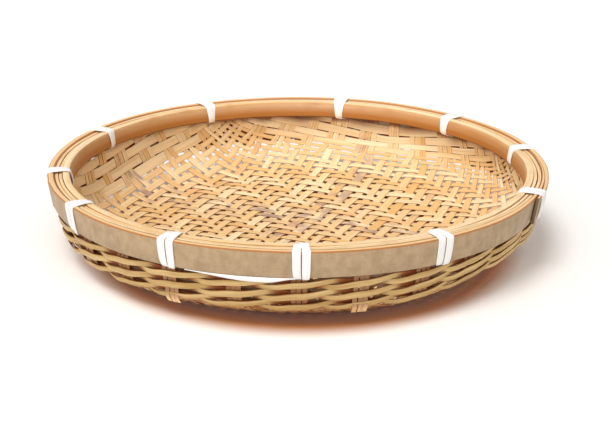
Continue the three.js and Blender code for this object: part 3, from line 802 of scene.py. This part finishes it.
def tape_tie(azimuth, proud):
    """A straight length of tape, wound round the rim. Proud is how far the outer hoop stands out there."""
    stations = rounded(tape_stations(random.uniform(-TAPE_LEAN, TAPE_LEAN) * mm, proud), 2)
    count = len(stations) - 1
    tape = straight_slat("tape", count * mm, TAPE_WIDTH, TAPE_THICKNESS, TAPE_EASE, (count,))
    out = Vector((math.cos(azimuth), math.sin(azimuth), 0))
    along_rim = Vector((-math.sin(azimuth), math.cos(azimuth), 0))
    for vertex in tape.data.vertices:
        ring = round(vertex.co.x / mm)
        radius, height, shift, width = stations[ring]
        before, after = stations[max(ring - 1, 0)], stations[min(ring + 1, count)]
        run = Vector((after[0] - before[0], after[1] - before[1])).normalized()
        lift = vertex.co.z
        sideways = shift + vertex.co.y * width / TAPE_WIDTH
        level_place = out * (radius - run.y * lift) + along_rim * sideways
        vertex.co = level_place + Vector((0, 0, height + run.x * lift))
    return tape


def tape_run():
    """A loose length of tape between two ties, along the lower edge of the outer hoop."""
    start, end = RUN_ENDS
    length = (end - start) * WALL_RADIUS
    tape = straight_slat("tape", length, TAPE_WIDTH, TAPE_THICKNESS, TAPE_EASE, (4, 8))
    for vertex in tape.data.vertices:
        share = vertex.co.x / length
        azimuth = lerp(start, end, share)
        swell = smooth_step(0, 0.65, share) - 0.9 * smooth_step(0.75, 1, share)
        showing = lerp(*RUN_SHOWING, swell) * mm
        height = RUN_TOP - showing * (0.5 - vertex.co.y / TAPE_WIDTH)
        radius = rim_radius(height) + RUN_STAND + vertex.co.z
        vertex.co = (radius * math.cos(azimuth), radius * math.sin(azimuth), height)
    return tape


# Polypropylene tape: white, drawn out of the melt, so it is smooth and softly shiny with fine ridges along
# its length. They are drawn 0.71 mm apart, coarser than real ones, so that they show.
white_tape, tree = new_material("white_polypropylene_tape")
grain = add_node(tree, "UVMap", {}, uv_map="fibre").outputs["UV"]
ridges = add_node(tree, "Mapping", {"Vector": grain, "Scale": (0.003 / mm, 1.4 / mm, 1)}).outputs["Vector"]
fine = add_node(tree, "TexNoise", {"Vector": ridges, "Scale": 1, "Detail": 2},
                noise_dimensions="2D").outputs["Fac"]
white = add_node(tree, "Mix", {"Factor": fine, 6: linear("#FAF9F7"), 7: linear("#E9E6E1")},
                 data_type="RGBA").outputs[2]
relief = add_node(tree, "Bump", {"Height": fine, "Strength": 0.4, "Distance": 0.15 * mm}).outputs["Normal"]
shader = add_node(tree, "BsdfPrincipled", {"Base Color": white, "Roughness": 0.38, "Normal": relief,
                                           "IOR": 1.49})
add_node(tree, "OutputMaterial", {"Surface": shader.outputs[0]})

for index, angle in enumerate(TIE_ANGLES):
    tapes = [tape_tie(math.radians(angle), LAP_PROUD if index == LAP_TIE else 0)]
    if index == RUN_TIE:
        tapes.append(tape_run())
    finish_piece(f"tape_tie_{index + 1:02d}", tapes, white_tape, [f"tie_{index + 1:02d}"])


# Table: covered with plain white paper, lit evenly. The tray's own soft shadow lies on it, and a brown shadow
# is painted on it under the tray, deepest under its floor, where a faint brown glow is painted too.
def seen_directly(tree):
    """1 for what the camera sees, also in a shiny surface or through a clear one, and 0 for other light."""
    path = add_node(tree, "LightPath", {}).outputs
    seen = add_node(tree, "Math", {0: path["Is Camera Ray"], 1: path["Is Glossy Ray"]},
                    operation="MAXIMUM").outputs[0]
    return add_node(tree, "Math", {0: seen, 1: path["Is Transmission Ray"]}, operation="MAXIMUM").outputs[0]


bpy.ops.object.select_all(action="DESELECT")
bpy.ops.mesh.primitive_plane_add(size=12)
table = bpy.context.object
table.name = table.data.name = "table"
table_white, tree = new_material("white_table")
seen = seen_directly(tree)
place = add_node(tree, "TexCoord", {}).outputs["Object"]
place = add_node(tree, "Mapping", {"Vector": place, "Location": (-0.003, 0.006, 0),
                                   "Scale": (1.1, 1, 1)}).outputs["Vector"]
from_middle = add_node(tree, "VectorMath", {0: place}, operation="LENGTH").outputs["Value"]
# painted shadow: brown on the table under the tray, fading out past its rim
under = add_node(tree, "MapRange", {"Value": from_middle, "From Min": 0.128, "From Max": 0.149, "To Min": 1,
                                    "To Max": 0}, interpolation_type="SMOOTHSTEP").outputs["Result"]
paper = add_node(tree, "Mix", {"Factor": under, 6: linear("#FBF8F5"), 7: linear("#B87331")},
                 data_type="RGBA").outputs[2]
# painted shadow, darkest under the tray's floor
deep = add_node(tree, "MapRange", {"Value": from_middle, "From Min": 0.105, "From Max": 0.132, "To Min": 1,
                                   "To Max": 0}).outputs["Result"]
paper = add_node(tree, "Mix", {"Factor": deep, 6: paper, 7: linear("#6B3A1E")}, data_type="RGBA").outputs[2]
paper = add_node(tree, "BsdfDiffuse", {"Color": paper}).outputs[0]
# the camera's faint glow keeps the open table white; under the tray it is a painted brown glow
glow_level = add_node(tree, "MapRange", {"Value": deep, "To Min": 0.03, "To Max": 0.15}).outputs["Result"]
glow_level = add_node(tree, "Math", {0: seen, 1: glow_level}, operation="MULTIPLY").outputs[0]
glow_colour = add_node(tree, "Mix", {"Factor": deep, 6: linear("#FFF4EC"), 7: linear("#A04A1A")},
                       data_type="RGBA").outputs[2]
glow = add_node(tree, "Emission", {"Color": glow_colour, "Strength": glow_level}).outputs[0]
lit = add_node(tree, "AddShader", {0: paper, 1: glow}).outputs[0]
add_node(tree, "OutputMaterial", {"Surface": lit})
table.data.materials.append(table_white)


# Studio: a room that is light in front, above and on the left and dimmer elsewhere, one broad soft lamp
# above, and a weak narrow lamp from the front that reaches over the rim to the far wall of the tray.
def aim(item, target):
    """Turn a lamp or a camera to a point."""
    item.rotation_euler = (Vector(target) - item.location).to_track_quat("-Z", "Y").to_euler()


world = bpy.data.worlds.new("studio")
bpy.context.scene.world = world
world.use_nodes = True
tree = world.node_tree
tree.nodes.clear()
seen = seen_directly(tree)
direction = add_node(tree, "TexCoord", {}).outputs["Generated"]
to_light = add_node(tree, "VectorMath", {0: direction, 1: (-0.33, -0.71, 0.62)},
                    operation="DOT_PRODUCT").outputs["Value"]
level = add_node(tree, "MapRange", {"Value": to_light, "From Min": 0.1, "From Max": 0.8, "To Min": 0.19,
                                    "To Max": 1.22}, interpolation_type="SMOOTHSTEP").outputs["Result"]
level = add_node(tree, "Mix", {"Factor": seen, 2: level, 3: 1.0}).outputs[0]
room = add_node(tree, "Background", {"Color": (1, 1, 1, 1), "Strength": level}).outputs[0]
add_node(tree, "OutputWorld", {"Surface": room})

bpy.ops.object.light_add(type="SUN", location=(-0.34, -0.56, 1.5))
lamp = bpy.context.object
lamp.name = "soft_lamp"
lamp.data.angle = math.radians(24)
lamp.data.energy = 1.42
aim(lamp, (0, 0, 0))

bpy.ops.object.light_add(type="SPOT", location=(-0.22, -1.17, 0.5))
fill = bpy.context.object
fill.name = "fill_for_far_wall"
fill.data.spot_size = math.radians(7.5)
fill.data.spot_blend = 1
fill.data.shadow_soft_size = 0.05
fill.data.energy = 15
fill.scale = (2.9, 1, 1)
aim(fill, (0, 0.145, 0.055))


# Camera: a long lens from the front and a little above, as in the photograph. It leans to one side by a third
# of a degree, as the photograph does.
bpy.ops.object.camera_add(location=(0.0048, -0.9857, 0.3658))
camera = bpy.context.object
camera.data.sensor_width = 36
camera.data.lens = 101
camera.data.clip_start = 0.05
aim(camera, (0.0048, -0.0848, 0.048))
camera.rotation_euler.rotate_axis("Z", math.radians(0.29))
bpy.context.scene.camera = camera
bpy.context.scene.view_settings.view_transform = "Standard"
